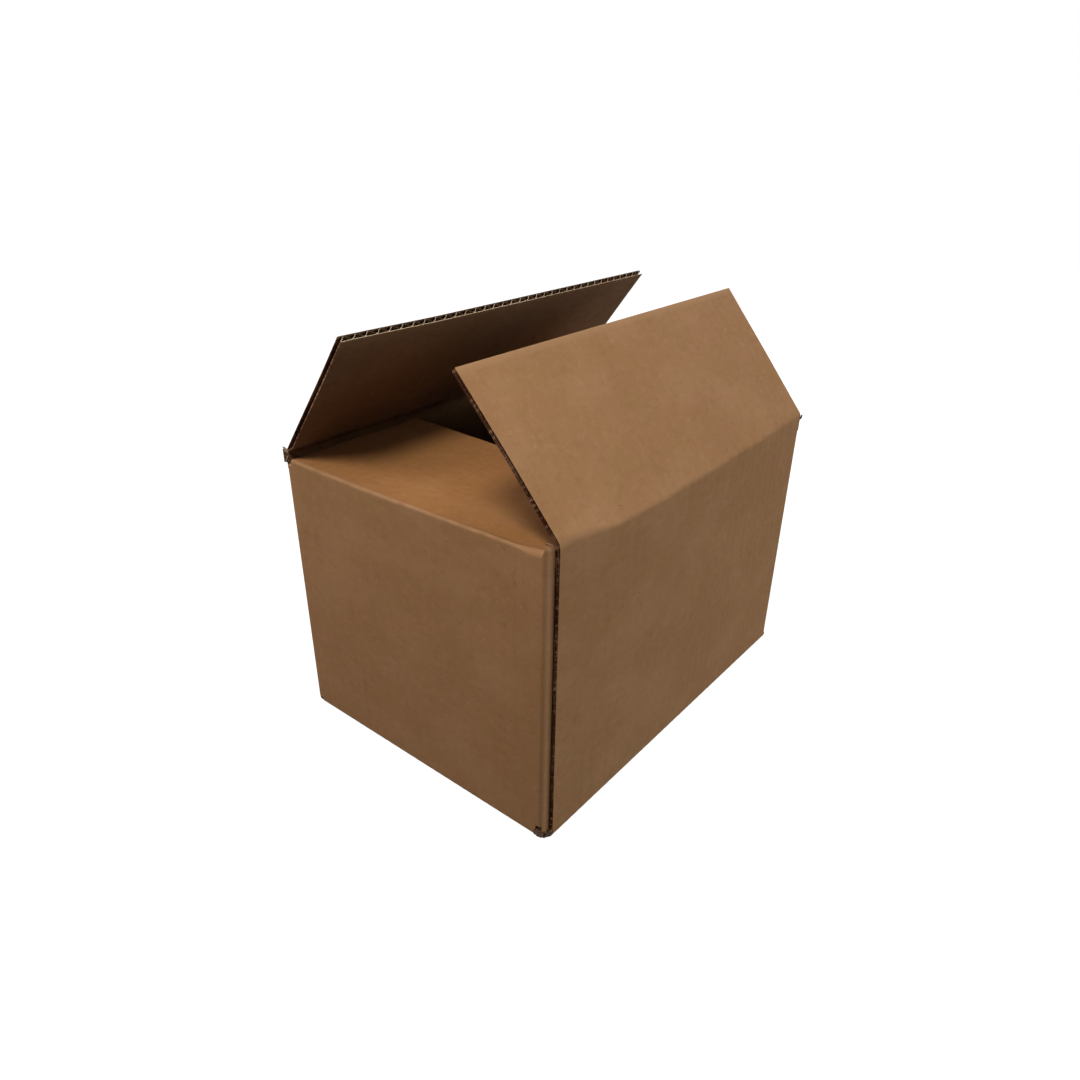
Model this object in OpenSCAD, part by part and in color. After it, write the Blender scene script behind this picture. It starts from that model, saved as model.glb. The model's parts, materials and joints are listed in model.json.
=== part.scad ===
// Slotted shipping carton folded from one blank of single-wall corrugated board.
// Origin in the middle of the underside, +Z up, +X along the length, +Y along the width.
// The short top flaps are folded in. The two long top flaps lean half shut over them.

/* [Box] */
// Outside length, along X
box_l = 272; // [230:1:340]
// Outside width, along Y
box_w = 200; // [160:1:220]
// Outside height with the top shut
box_h = 181; // [120:1:260]

/* [Board] */
// Thickness of the corrugated board
board_t = 4; // [3:0.5:5]
// Thickness of each flat liner
liner_t = 0.4; // [0.3:0.05:0.6]
// Thickness of the wavy sheet between the liners
medium_t = 0.4; // [0.3:0.05:0.6]
// Distance from one flute to the next
flute_pitch = 7.8; // [6.5:0.1:9]

/* [Folds] */
// Outer radius of the folds between two walls
corner_r = 2.5; // [1.5:0.5:3]
// Outer radius of the folds between a wall and its bottom or short top flap
fold_r = 2; // [1:0.5:3]
// Depth over which the flutes are crushed beside a long flap's crease
crush_d = 7; // [6:0.5:10]
// Room between the two bevelled edges at a long flap's crease
crease_gap = 0.25; // [0.2:0.05:0.5]

/* [Flaps] */
// Gap along the middle between two long flaps when they are shut
middle_gap = 1; // [0.8:0.1:4]
// Distance from the side edge of a long flap to the end of the box
long_inset = 1; // [0.5:0.5:4]
// Room between the side edge of a short flap and the long wall beside it
short_side_gap = 1; // [0.5:0.5:4]
// Room between a shut long flap and the short flaps under it
seat_gap = 0.3; // [0.3:0.1:1]
// Height of the crushed bottom fold of an end wall above the ground
end_lift = 1.5; // [1:0.5:2.5]
// How far back from the free edge of a short top flap its flutes are open
short_flute_d = 24; // [10:1:60]

/* [Pose of the long top flaps] */
// Lean of the front flap, inward from upright
front_lean = 41; // [0:1:89]
// Lean of the rear flap, inward from upright
rear_lean = 39; // [0:1:89]

/* [Glued corner] */
// Reach of the glue tab inside the front wall, from the end of the box
tab_w = 35; // [25:1:45]
// Slant of the top and bottom edges of the glue tab
tab_slant = 12; // [5:1:20]
// Room between the glue tab and the short flaps above and below it
tab_gap = 1; // [0.5:0.5:5]
// Inner radius of the fold between the end wall and its glue tab
tab_fold_r = 0.5; // [0.5:0.5:2]
// Distance from that fold to the cut edge of the front wall
cut_edge_gap = 1; // [0.5:0.5:3]

/* [Hidden] */
$fn = 48;

kraft_outside = [0.60, 0.44, 0.29];
kraft_flap = [0.66, 0.49, 0.33];

// Every flap of a slotted carton is as deep as half its width
flap_d = (box_w - middle_gap) / 2;
long_flap_x = box_l / 2 - long_inset;
short_flap_w = box_w - 2 * (board_t + short_side_gap);

// Heights of the end walls and their folds
end_top = box_h - board_t - seat_gap;
plain_low = end_lift + fold_r;
plain_high = end_top - fold_r;

// The glued corner, where the end wall bends in behind the cut edge of the front wall
tab_bend_r = board_t + tab_fold_r;
cut_x = tab_bend_r + cut_edge_gap - box_l / 2;

// Wave of the medium, which touches both liners
wave_h = (board_t - 2 * liner_t - medium_t) / 2;
// Distance from a crossing of the wave to the middle of a void, as a share of the pitch
void_middle = 0.25;
// Half the width of a void, as a share of the pitch
void_reach = 0.44;
// Points of the wave that shape one void
void_points = 5;
// Overshoot of a cut past the face that it opens
cut_past = 1;

// Number of flutes across a span, in halves, so that both side edges cut the wave at its middle
function flute_halves(span) = floor(2 * span / flute_pitch / 2) * 2 + 1;
function fitted_pitch(span) = 2 * span / flute_halves(span);

// Height of a void over its liner, at a share of the pitch from its middle
function void_height(share) = wave_h * (1 + cos(360 * share));

// Outline of one void on the inner liner: flat along the liner, curved under the wave
function void_outline(pitch) = concat(
    [[-void_reach * pitch, 0]],
    [for (i = [1:void_points])
        let (share = void_reach * (2 * i / (void_points + 1) - 1))
        [share * pitch, void_height(share)]],
    [[void_reach * pitch, 0]]
);

// The two voids beside a crossing of the wave at x = 0, one on each liner
module void_pair(pitch) {
    translate([void_middle * pitch, board_t - liner_t])
        mirror([0, 1])
            polygon(void_outline(pitch));
    translate([-void_middle * pitch, liner_t])
        polygon(void_outline(pitch));
}

// Voids of a board that spans X, with its outer face on y = 0 and its inner face on y = board_t
module flute_voids(span) {
    pitch = fitted_pitch(span);
    count = (flute_halves(span) + 1) / 2;
    for (i = [0:count - 1]) {
        translate([i * pitch - span / 2, 0])
            void_pair(pitch);
    }
}

// Cut section of the board across its flutes, spanning X
module fluted_section(span) {
    difference() {
        translate([-span / 2, 0])
            square([span, board_t]);
        flute_voids(span);
    }
}

module rounded_rect(l, w, r) {
    square([l - 2 * r, w], center = true);
    square([l, w - 2 * r], center = true);
    for (sx = [-1, 1], sy = [-1, 1])
        translate([sx * (l / 2 - r), sy * (w / 2 - r)])
            circle(r = r);
}

// Quarter of a bend, from the -X side to the -Y side of its centre
module quarter_bend(outer_r) {
    intersection() {
        difference() {
            circle(r = outer_r);
            circle(r = outer_r - board_t);
        }
        translate([-outer_r, -outer_r])
            square(outer_r);
    }
}

// The four walls seen from above, with the glued corner left out
module wall_plan() {
    corner_cut = board_t + tab_bend_r;
    difference() {
        rounded_rect(box_l, box_w, corner_r);
        square([box_l - 2 * board_t, box_w - 2 * board_t], center = true);
        translate([-box_l / 2 - cut_past, -box_w / 2 - cut_past])
            square(corner_cut + cut_past);
    }
}

// Places a drawing at the centre of the bend between the end wall and its glue tab
module at_tab_bend() {
    translate([tab_bend_r - box_l / 2, board_t + tab_bend_r - box_w / 2])
        children();
}

module walls() {
    translate([0, 0, plain_low])
        linear_extrude(plain_high - plain_low) {
            wall_plan();
            at_tab_bend()
                quarter_bend(tab_bend_r);
        }
}

// Tab glued to the inside of the front wall, with slanted ends
module glue_tab() {
    low = 2 * board_t + tab_gap;
    high = end_top - board_t - tab_gap;
    drop = (tab_w - tab_bend_r) * tan(tab_slant);
    start_x = tab_bend_r - box_l / 2;
    end_x = tab_w - box_l / 2;
    translate([0, 2 * board_t - box_w / 2, 0])
        rotate([90, 0, 0])
            linear_extrude(board_t)
                polygon([
                    [start_x, low],
                    [end_x, low + drop],
                    [end_x, high - drop],
                    [start_x, high]
                ]);
}

// Section of a long wall with its bevelled top, outer face on y = 0, bottom fold below
module long_wall_section() {
    top = box_h - crease_gap;
    polygon([
        [0, plain_low],
        [board_t, plain_low],
        [board_t, top - board_t],
        [0, top]
    ]);
}

// Section of a bottom flap and its rounded fold, outer face of the wall on y = 0
module bottom_flap_section() {
    translate([fold_r, fold_r])
        circle(r = fold_r);
    translate([0, fold_r])
        square([board_t, plain_low - fold_r + board_t]);
    translate([fold_r, 0])
        square([flap_d - fold_r, board_t]);
}

// Extrudes a section in Y and Z along X, between two ends
module along_length(from_x, to_x) {
    translate([from_x, 0, 0])
        rotate([90, 0, 90])
            linear_extrude(to_x - from_x)
                children();
}

// A long wall and its bottom flap, with the outer face on y = 0
module long_side(wall_from, flap_from) {
    along_length(wall_from, box_l / 2 - corner_r)
        long_wall_section();
    along_length(flap_from, long_flap_x)
        bottom_flap_section();
}

// The front wall and its bottom flap both start at the cut edge, where the flutes lie open
module front_side() {
    difference() {
        translate([0, -box_w / 2, 0])
            long_side(cut_x, cut_x);
        translate([cut_x, -box_w / 2, plain_low])
            linear_extrude(box_h)
                void_pair(flute_pitch);
    }
}

module rear_side() {
    mirror([0, 1, 0])
        translate([0, -box_w / 2, 0])
            long_side(corner_r - box_l / 2, -long_flap_x);
}

// Section of both end walls with their folded-in flaps, length along X and height along Y
module end_section() {
    mouth_l = box_l - 2 * flap_d;
    inside_l = box_l - 2 * board_t;
    difference() {
        translate([0, (end_top + end_lift) / 2])
            rounded_rect(box_l, end_top - end_lift, fold_r);
        translate([-inside_l / 2, 2 * board_t])
            square([inside_l, end_top - 3 * board_t]);
        translate([-inside_l / 2, 0])
            square([inside_l, board_t]);
        translate([-mouth_l / 2, 0])
            square([mouth_l, box_h]);
    }
}

// Open flute ends in the free edge of one short top flap, at the -X end
module short_flap_flutes() {
    edge_x = flap_d - box_l / 2;
    translate([edge_x - short_flute_d, 0, end_top])
        rotate([0, 90, 0])
            rotate([0, 0, -90])
                linear_extrude(short_flute_d + cut_past)
                    flute_voids(short_flap_w);
}

// What the bend of the glue tab takes off a square corner, over the whole height
module tab_corner_relief() {
    linear_extrude(box_h)
        at_tab_bend()
            difference() {
                translate([-tab_bend_r - cut_past, -tab_bend_r - cut_past])
                    square(tab_bend_r + cut_past);
                circle(r = tab_bend_r);
            }
}

// Both end walls across the width of their flaps
module end_sides() {
    difference() {
        translate([0, short_flap_w / 2, 0])
            rotate([90, 0, 0])
                linear_extrude(short_flap_w)
                    end_section();
        short_flap_flutes();
        mirror([1, 0, 0])
            short_flap_flutes();
        tab_corner_relief();
    }
}

// Walls, glue tab, bottom flaps and folded-in short top flaps are one folded sheet
module carton() {
    color(kraft_outside)
        union() {
            walls();
            glue_tab();
            front_side();
            rear_side();
            end_sides();
        }
}

// A long top flap, upright, with its crease on the X axis and its inner face towards +Y
module long_flap(from_x) {
    translate([(from_x + long_flap_x) / 2, 0, crush_d])
        linear_extrude(flap_d - crush_d)
            fluted_section(long_flap_x - from_x);
    along_length(from_x, long_flap_x)
        polygon([
            [0, crease_gap],
            [board_t, crease_gap + board_t],
            [board_t, crush_d],
            [0, crush_d]
        ]);
}

module front_flap() {
    color(kraft_flap)
        translate([0, -box_w / 2, box_h])
            rotate([-front_lean, 0, 0])
                long_flap(cut_x);
}

module rear_flap() {
    color(kraft_flap)
        mirror([0, 1, 0])
            translate([0, -box_w / 2, box_h])
                rotate([-rear_lean, 0, 0])
                    long_flap(-long_flap_x);
}

carton();
front_flap();
rear_flap();
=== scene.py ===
# %% [markdown]
# # A slotted carton with its top half shut
#
# The object is a plain brown shipping carton, folded from one blank of corrugated board. Its
# four walls stand, the bottom is shut, the two short top flaps lie folded in, and the two long
# top flaps lean over them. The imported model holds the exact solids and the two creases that
# move. This script dresses them: it lays thin sheets of paper where the solids have thick board.

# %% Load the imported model
import json
import math

import bpy
import numpy as np
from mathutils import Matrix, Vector


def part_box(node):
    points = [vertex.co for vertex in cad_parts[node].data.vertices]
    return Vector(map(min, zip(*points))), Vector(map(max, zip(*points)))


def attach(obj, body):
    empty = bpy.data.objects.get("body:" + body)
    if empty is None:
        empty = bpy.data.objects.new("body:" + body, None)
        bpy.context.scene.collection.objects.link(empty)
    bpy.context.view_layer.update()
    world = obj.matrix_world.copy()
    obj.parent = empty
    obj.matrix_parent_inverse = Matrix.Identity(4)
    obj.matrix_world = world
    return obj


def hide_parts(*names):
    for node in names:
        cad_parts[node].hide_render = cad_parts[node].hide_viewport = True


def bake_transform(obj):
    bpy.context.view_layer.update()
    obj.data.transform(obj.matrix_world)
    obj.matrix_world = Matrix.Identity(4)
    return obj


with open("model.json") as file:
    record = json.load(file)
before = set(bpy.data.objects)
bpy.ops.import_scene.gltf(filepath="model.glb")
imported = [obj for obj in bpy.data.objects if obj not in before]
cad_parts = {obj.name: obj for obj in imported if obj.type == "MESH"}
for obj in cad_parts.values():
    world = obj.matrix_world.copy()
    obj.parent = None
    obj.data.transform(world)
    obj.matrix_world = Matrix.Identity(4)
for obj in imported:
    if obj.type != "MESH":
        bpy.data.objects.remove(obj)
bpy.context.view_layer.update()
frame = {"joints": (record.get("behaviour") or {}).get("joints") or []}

# %% [markdown]
# ## Sizes
#
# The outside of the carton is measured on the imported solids, so the sheets always fit them.
# The board has a flat outer liner, a wavy medium and a flat inner liner. The other sizes are
# those of the folds and cuts. They are written in millimetres and turned into metres here.

# %% Sizes of the carton and of its board
MM = 0.001
carton_low, carton_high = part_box("carton")
HALF_L = (carton_high.x - carton_low.x) / 2
HALF_W = (carton_high.y - carton_low.y) / 2
HINGE_Z = next(joint["pos_m"][2] for joint in frame["joints"] if joint["child"] == "front_flap")

BOARD_T = 4 * MM
LINER_T = 0.4 * MM
MEDIUM_T = 0.42 * MM
# From one flute to the next
PITCH = 7.8 * MM
FLAP_D = 99.5 * MM
# The raw cut edge of the front wall, at the glued corner
CUT_X = 6.4 * MM - HALF_L
# The side edges of the long flaps, and those of the short flaps
FLAP_X = HALF_L - 1 * MM
SHORT_Y = HALF_W - 5 * MM
# The top of the folded-in short flaps, and how far above the ground the end walls are folded
FOLD_Z = 176.4 * MM
FLOOR_LIFT = 0.6 * MM
# How far each long flap leans inward from upright, and the side of the carton that it is on
LEAN = {"front_flap": math.radians(41), "rear_flap": math.radians(39)}
SIDE = {"front_flap": -1, "rear_flap": 1}
print("carton", round(2 * HALF_L, 4), round(2 * HALF_W, 4), "crease at", HINGE_Z)

# %% [markdown]
# ## Grids of points
#
# Every sheet of paper here is a grid of points. A grid is cheap to bend, because each point's
# place comes from a formula, and its rows keep the direction of the flutes. Several grids make
# one piece. They don't share points, so a cut edge stays sharp where two grids meet, and smooth
# shading can be left on for all. Each point also keeps its place on the flat blank, which the
# paper's grain follows, and a value for how worn it is, which along the folds also carries a painted
# highlight.


# %% Gather grids into a piece
def new_piece():
    return {"points": [], "faces": [], "blank": [], "finish": [], "wear": [], "count": 0}


def add_grid(piece, points, blank, finish, flip=False, wear=0.0):
    """Adds a grid of points, shape (n, m, 3). Its faces look along d/dn x d/dm."""
    n, m = points.shape[:2]
    index = np.arange(n * m).reshape(n, m) + piece["count"]
    quads = [index[:-1, :-1], index[1:, :-1], index[1:, 1:], index[:-1, 1:]]
    if flip:
        quads.reverse()
    piece["points"].append(points.reshape(-1, 3))
    piece["faces"].append(np.stack(quads, -1).reshape(-1, 4))
    piece["blank"].append(np.broadcast_to(blank, (n, m, 2)).reshape(-1, 2))
    piece["finish"].append(np.full((n - 1) * (m - 1), finish))
    piece["wear"].append(np.broadcast_to(wear, (n, m)).reshape(-1))
    piece["count"] += n * m


def finish_piece(piece, name, finishes):
    points = np.concatenate(piece["points"])
    faces = np.concatenate(piece["faces"])
    mesh = bpy.data.meshes.new(name)
    mesh.vertices.add(len(points))
    mesh.vertices.foreach_set("co", points.astype(np.float32).ravel())
    mesh.loops.add(faces.size)
    mesh.loops.foreach_set("vertex_index", faces.astype(np.int32).ravel())
    mesh.polygons.add(len(faces))
    mesh.polygons.foreach_set("loop_start", np.arange(0, faces.size, 4, dtype=np.int32))
    mesh.polygons.foreach_set("material_index", np.concatenate(piece["finish"]).astype(np.int32))
    mesh.update(calc_edges=True)
    mesh.polygons.foreach_set("use_smooth", np.ones(len(faces), bool))
    layer = mesh.uv_layers.new(name="blank")
    blank = np.concatenate(piece["blank"])[faces.ravel()]
    layer.data.foreach_set("uv", blank.astype(np.float32).ravel())
    wear = mesh.attributes.new("wear", "FLOAT", "POINT")
    wear.data.foreach_set("value", np.concatenate(piece["wear"]).astype(np.float32))
    for finish in finishes:
        mesh.materials.append(finish)
    mesh.validate()
    made = bpy.data.objects.new(name, mesh)
    bpy.context.scene.collection.objects.link(made)
    print(name, 2 * len(faces), "triangles")
    return made


# %% [markdown]
# ## Kraft paper
#
# Kraft liner is brown from uncoloured wood fibre. Close up it is cloudy, because the fibres
# settle unevenly, and it shows short streaks, lighter and darker, that mostly run across the
# flutes, which is the direction in which the paper was made. A few specks of bark are left in
# it. A picture of paper could be laid over the board, but it would repeat and blur close up. So
# the grain is drawn with noise over the place on the flat blank, in metres: it stays sharp,
# turns with each flap and keeps its real scale. One function makes all the papers.


# %% Small helpers for node materials
def node(tree, kind, inputs=None, **settings):
    made = tree.nodes.new(kind)
    for key, value in settings.items():
        setattr(made, key, value)
    for key, value in (inputs or {}).items():
        if isinstance(value, bpy.types.NodeSocket):
            tree.links.new(value, made.inputs[key])
        else:
            made.inputs[key].default_value = value
    return made


def stretched(tree, source, across, along):
    """The place on the blank, in units of one grain: across and along are its sizes in metres."""
    inputs = {"Vector": source, "Scale": (1 / across, 1 / along, 1)}
    return node(tree, "ShaderNodeMapping", inputs).outputs[0]


def noise(tree, place, detail=3.0, roughness=0.5, offset=0.0):
    """Soft random values about 0.5; another offset gives another pattern."""
    made = node(
        tree,
        "ShaderNodeTexNoise",
        {"Vector": place, "Scale": 1.0, "Detail": detail, "Roughness": roughness, "W": offset},
        noise_dimensions="4D",
    )
    return made.outputs["Fac"]


def band(tree, value, low, high, to_low=0.0, to_high=1.0):
    """Goes softly from to_low to to_high while the value goes from low to high."""
    made = node(
        tree,
        "ShaderNodeMapRange",
        {"Value": value, "From Min": low, "From Max": high, "To Min": to_low, "To Max": to_high},
        interpolation_type="SMOOTHSTEP",
    )
    return made.outputs[0]


def math_node(tree, operation, first, second):
    return node(tree, "ShaderNodeMath", {0: first, 1: second}, operation=operation).outputs[0]


def tinted(tree, base, colour, amount):
    made = node(tree, "ShaderNodeMix", {0: amount, 6: base, 7: colour}, data_type="RGBA")
    return made.outputs[2]


# %% Loose fibres
def loose_fibres(tree, blank, base, pale, dark, grain):
    """Thin fibres that lie in four directions, in patches, two of them dark and two pale."""
    for number, (angle, fibre) in enumerate(((0.5, dark), (-0.7, pale), (1.3, dark), (2.2, pale))):
        inputs = {"Vector": blank, "Angle": angle}
        turned = node(tree, "ShaderNodeVectorRotate", inputs, rotation_type="Z_AXIS").outputs[0]
        hair = noise(tree, stretched(tree, turned, 0.0062, 0.0008), detail=1.5, offset=11.0 + 3 * number)
        patch = noise(tree, stretched(tree, turned, 0.016, 0.014), detail=1, offset=21.0 + number)
        shown = band(tree, patch, 0.50, 0.64, 0.0, 0.85 * grain)
        amount = math_node(tree, "MULTIPLY", band(tree, hair, 0.63, 0.72), shown)
        base = tinted(tree, base, fibre, amount)
    return base


# %% The paper material
BARK = (0.055, 0.030, 0.016, 1)


def paper(name, colour, pale, dark, roughness=0.82, grain=1.0, gloss=0.16, flecks=0.0, bare=0.53):
    """Paper with a pale and a dark grain; flecks are pale bits, fewer where bare is higher."""
    material = bpy.data.materials.new(name)
    material.use_nodes = True
    tree = material.node_tree
    tree.nodes.clear()
    blank = node(tree, "ShaderNodeUVMap", uv_map="blank").outputs[0]
    worn_and_highlit = node(tree, "ShaderNodeAttribute", attribute_name="wear", attribute_type="GEOMETRY")

    clouds = noise(tree, stretched(tree, blank, 0.045, 0.030), detail=3, offset=1.3)
    mottle = noise(tree, stretched(tree, blank, 0.0065, 0.0042), detail=5, roughness=0.62, offset=4.1)
    streaks = noise(tree, stretched(tree, blank, 0.0034, 0.00042), detail=2, roughness=0.55, offset=7.7)
    strays = noise(tree, stretched(tree, blank, 0.0007, 0.0022), detail=2, roughness=0.6, offset=2.9)
    ribs = noise(tree, stretched(tree, blank, 0.0026, 0.085), detail=2, offset=5.5)
    specks = noise(tree, stretched(tree, blank, 0.0011, 0.0008), detail=1, offset=9.2)
    patches = noise(tree, stretched(tree, blank, 0.022, 0.016), detail=4, roughness=0.6, offset=15.2)

    tan = (0.97 * colour[0], 1.015 * colour[1], 0.91 * colour[2], 1)
    base = tinted(tree, colour, tan, band(tree, patches, 0.42, 0.60, 0.0, 0.8 * grain))
    base = tinted(tree, base, pale, band(tree, clouds, 0.40, 0.70, 0.0, 0.34 * grain))
    base = tinted(tree, base, dark, band(tree, mottle, 0.52, 0.78, 0.0, 0.34 * grain))
    base = tinted(tree, base, pale, band(tree, mottle, 0.30, 0.48, 0.26 * grain, 0.0))
    base = tinted(tree, base, dark, band(tree, ribs, 0.50, 0.75, 0.0, 0.10 * grain))
    base = tinted(tree, base, dark, band(tree, streaks, 0.60, 0.76, 0.0, 0.42 * grain))
    base = tinted(tree, base, pale, band(tree, strays, 0.62, 0.78, 0.0, 0.40 * grain))
    base = tinted(tree, base, BARK, band(tree, specks, 0.76, 0.80, 0.0, 0.75 * grain))
    if flecks:
        bits = noise(tree, stretched(tree, blank, 0.0010, 0.0014), detail=2, roughness=0.6, offset=3.3)
        base = tinted(tree, base, pale, band(tree, bits, bare, bare + 0.07, 0.0, flecks))
    base = loose_fibres(tree, blank, base, pale, dark, grain)
    # The wear attribute tints the paper pale: real rubbing, and along the folds a painted highlight.
    uneven = band(tree, mottle, 0.30, 0.62, 0.45, 1.0)
    base = tinted(tree, base, pale, math_node(tree, "MULTIPLY", worn_and_highlit.outputs["Fac"], uneven))

    fine = math_node(tree, "MULTIPLY", streaks, 0.5)
    height = math_node(tree, "ADD", fine, math_node(tree, "MULTIPLY", mottle, 0.9))
    bump = node(tree, "ShaderNodeBump", {"Height": height, "Strength": 0.35, "Distance": 0.00018})
    shader = node(
        tree,
        "ShaderNodeBsdfPrincipled",
        {
            "Base Color": base,
            "Normal": bump.outputs[0],
            "Roughness": band(tree, mottle, 0.3, 0.7, roughness - 0.07, roughness + 0.06),
            "Specular IOR Level": gloss,
            "Sheen Weight": 0.2 * gloss,
            "Sheen Roughness": 0.6,
        },
    )
    out = node(tree, "ShaderNodeOutputMaterial")
    tree.links.new(shader.outputs[0], out.inputs[0])
    return material


# %% [markdown]
# ## Nine papers
#
# The outer liner is the brown that one sees first. Where it turns over onto the short flaps it
# is painted a warmer, darker brown: painted warm shade, for the shading and the light bounced between the
# flaps. The inner liner is duller, and the medium between them is painted darker still, as painted shade
# inside its flutes. A clean cut across the flutes is pale, and a duller one is painted shade, for cuts
# that lie in the shade. Torn and crushed paper, and the cuts along the flutes, are painted dark red-brown,
# as painted shade in their open flutes, with pale bits of fibre in them. Each paper gets three
# colours: its own, and a pale and a dark one for its clouds and fibres.

# %% Make the papers
COLOURS = {
    "outer_liner": ((0.374, 0.188, 0.083, 1), (0.500, 0.282, 0.145, 1), (0.215, 0.098, 0.041, 1)),
    "inner_liner": ((0.194, 0.104, 0.049, 1), (0.270, 0.160, 0.084, 1), (0.110, 0.056, 0.026, 1)),
    "flute_paper": ((0.120, 0.062, 0.034, 1), (0.220, 0.130, 0.080, 1), (0.050, 0.024, 0.012, 1)),
    "cut_paper": ((0.560, 0.400, 0.270, 1), (0.740, 0.600, 0.460, 1), (0.210, 0.120, 0.070, 1)),
    "torn_paper": ((0.088, 0.034, 0.014, 1), (0.400, 0.235, 0.140, 1), (0.030, 0.011, 0.005, 1)),
    "folded_liner": ((0.358, 0.156, 0.049, 1), (0.480, 0.242, 0.098, 1), (0.205, 0.082, 0.026, 1)),
    "shaded_cut": ((0.120, 0.078, 0.054, 1), (0.300, 0.220, 0.160, 1), (0.060, 0.032, 0.018, 1)),
    "side_cut_paper": ((0.085, 0.021, 0.009, 1), (0.460, 0.240, 0.130, 1), (0.040, 0.012, 0.005, 1)),
    "dashed_paper": ((0.090, 0.025, 0.010, 1), (0.600, 0.350, 0.210, 1), (0.045, 0.014, 0.006, 1)),
}
SETTINGS = {
    "outer_liner": {"grain": 0.82},
    "inner_liner": {"grain": 1.1, "gloss": 0.14},
    "flute_paper": {"roughness": 0.92, "gloss": 0.1},
    "cut_paper": {"roughness": 0.92, "grain": 1.2, "gloss": 0.1},
    "torn_paper": {"roughness": 0.95, "gloss": 0.05, "flecks": 0.85},
    "folded_liner": {},
    "shaded_cut": {"roughness": 0.92, "grain": 1.2, "gloss": 0.1},
    "side_cut_paper": {"roughness": 0.95, "gloss": 0.05, "flecks": 0.80, "bare": 0.58},
    "dashed_paper": {"roughness": 0.95, "gloss": 0.05, "flecks": 0.95, "bare": 0.54},
}
PAPERS = [paper(name, *colours, **SETTINGS[name]) for name, colours in COLOURS.items()]
OUTER, INNER, SHADED_FLUTE, CUT, SHADED_TORN, WARM_SHADED_LINER, SHADED, SHADED_SIDE_CUT, SHADED_DASHED = range(9)
print(len(PAPERS), "papers")

# %% [markdown]
# ## The flat blank
#
# Before it is folded, the carton is one flat sheet. Every point of the board is named by its
# place there: u runs round the walls from the raw cut edge at the near corner, s runs up along
# the flutes, from the bottom flaps over the walls to the top flaps. Because all parts use the
# same two numbers, the flutes and the grain of the paper run on over every fold.


# %% Soft random waves and steps
def ripple(a, b, size, seed):
    """Random waves over two coordinates, mostly between -1 and 1, with humps about size across."""
    draws = np.random.default_rng(seed)
    total = 0.0
    for _ in range(6):
        turn = draws.uniform(0, 2 * math.pi)
        wave_size = size * draws.uniform(0.7, 1.5) * 2
        phase = draws.uniform(0, 2 * math.pi)
        total = total + np.sin(2 * math.pi * (a * math.cos(turn) + b * math.sin(turn)) / wave_size + phase)
    return total / 2.6


def eased(value, low, high):
    """A soft step: 0 up to low, 1 from high on."""
    t = np.clip((value - low) / (high - low), 0, 1)
    return t * t * (3 - 2 * t)


def hump(value, middle, width):
    """A soft bump of height 1 about the middle."""
    return np.exp(-(((value - middle) / width) ** 2))


def soft_curve(points, place, reach):
    """A curve through points in millimetres, averaged over reach millimetres to both sides."""
    places, heights = np.array(points, float).T * MM
    shifts = np.linspace(-reach, reach, 9) * MM
    return sum(np.interp(place + shift, places, heights) for shift in shifts) / len(shifts)


# %% Distances round the walls
CORNER_R = 1.9 * MM
JOINT_T = 2.8 * MM
TAB_R = 2.6 * MM
TAB_END = 35 * MM - HALF_L
TAB_Y = JOINT_T - HALF_W
QUARTER = math.pi / 2
PANEL_X, PANEL_Y = HALF_L - CORNER_R, HALF_W - CORNER_R
# Some room past both ends of the blank, for points that lie a little outside it
BEYOND = 1.0

front_end = PANEL_X - CUT_X
right_start = front_end + QUARTER * CORNER_R
right_end = right_start + 2 * PANEL_Y
rear_start = right_end + QUARTER * CORNER_R
rear_end = rear_start + 2 * PANEL_X
left_start = rear_end + QUARTER * CORNER_R
left_end = left_start + PANEL_Y - (TAB_Y + TAB_R)
tab_start = left_end + QUARTER * TAB_R
tab_end = tab_start + TAB_END - (TAB_R - HALF_L)
FOLDS = (
    (front_end + right_start) / 2,
    (right_end + rear_start) / 2,
    (rear_end + left_start) / 2,
    left_end + 0.5 * (tab_start - left_end),
)
print("length of the blank", round(tab_end, 4))


# %% From the blank to a place round the walls
def way(u):
    """x, y and the outward direction of the outer face at a distance u round the walls."""
    stretches = (
        (-BEYOND, front_end, (CUT_X - BEYOND, -HALF_W), 0, 0),
        (front_end, right_start, (PANEL_X, -PANEL_Y), -QUARTER, CORNER_R),
        (right_start, right_end, (HALF_L, -PANEL_Y), QUARTER, 0),
        (right_end, rear_start, (PANEL_X, PANEL_Y), 0, CORNER_R),
        (rear_start, rear_end, (PANEL_X, HALF_W), 2 * QUARTER, 0),
        (rear_end, left_start, (-PANEL_X, PANEL_Y), QUARTER, CORNER_R),
        (left_start, left_end, (-HALF_L, PANEL_Y), 3 * QUARTER, 0),
        (left_end, tab_start, (TAB_R - HALF_L, TAB_Y + TAB_R), 2 * QUARTER, TAB_R),
        (tab_start, tab_end + BEYOND, (TAB_R - HALF_L, TAB_Y), 4 * QUARTER, 0),
    )
    x, y, nx, ny = (np.zeros_like(u) for _ in range(4))
    for low, high, (px, py), turn, radius in stretches:
        here = (u >= low) & (u <= high)
        run = u[here] - low
        if radius:
            angle = turn + run / radius
            nx[here], ny[here] = np.cos(angle), np.sin(angle)
            x[here], y[here] = px + radius * nx[here], py + radius * ny[here]
        else:
            x[here], y[here] = px + run * math.cos(turn), py + run * math.sin(turn)
            nx[here], ny[here] = math.sin(turn), -math.cos(turn)
    return x, y, nx, ny


def way_of_x(side, x):
    """The distance u of a place x on the front (side -1) or the rear (side 1)."""
    return x - CUT_X if side < 0 else rear_start + PANEL_X - x


def way_of_y(side, y):
    """The distance u of a place y on the left end (side -1) or the right end (side 1)."""
    return left_start + PANEL_Y - y if side < 0 else right_start + PANEL_Y + y


def x_of(side, u):
    """The other way round: the place x on the front or the rear of a distance u."""
    return CUT_X + u if side < 0 else PANEL_X - (u - rear_start)


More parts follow.
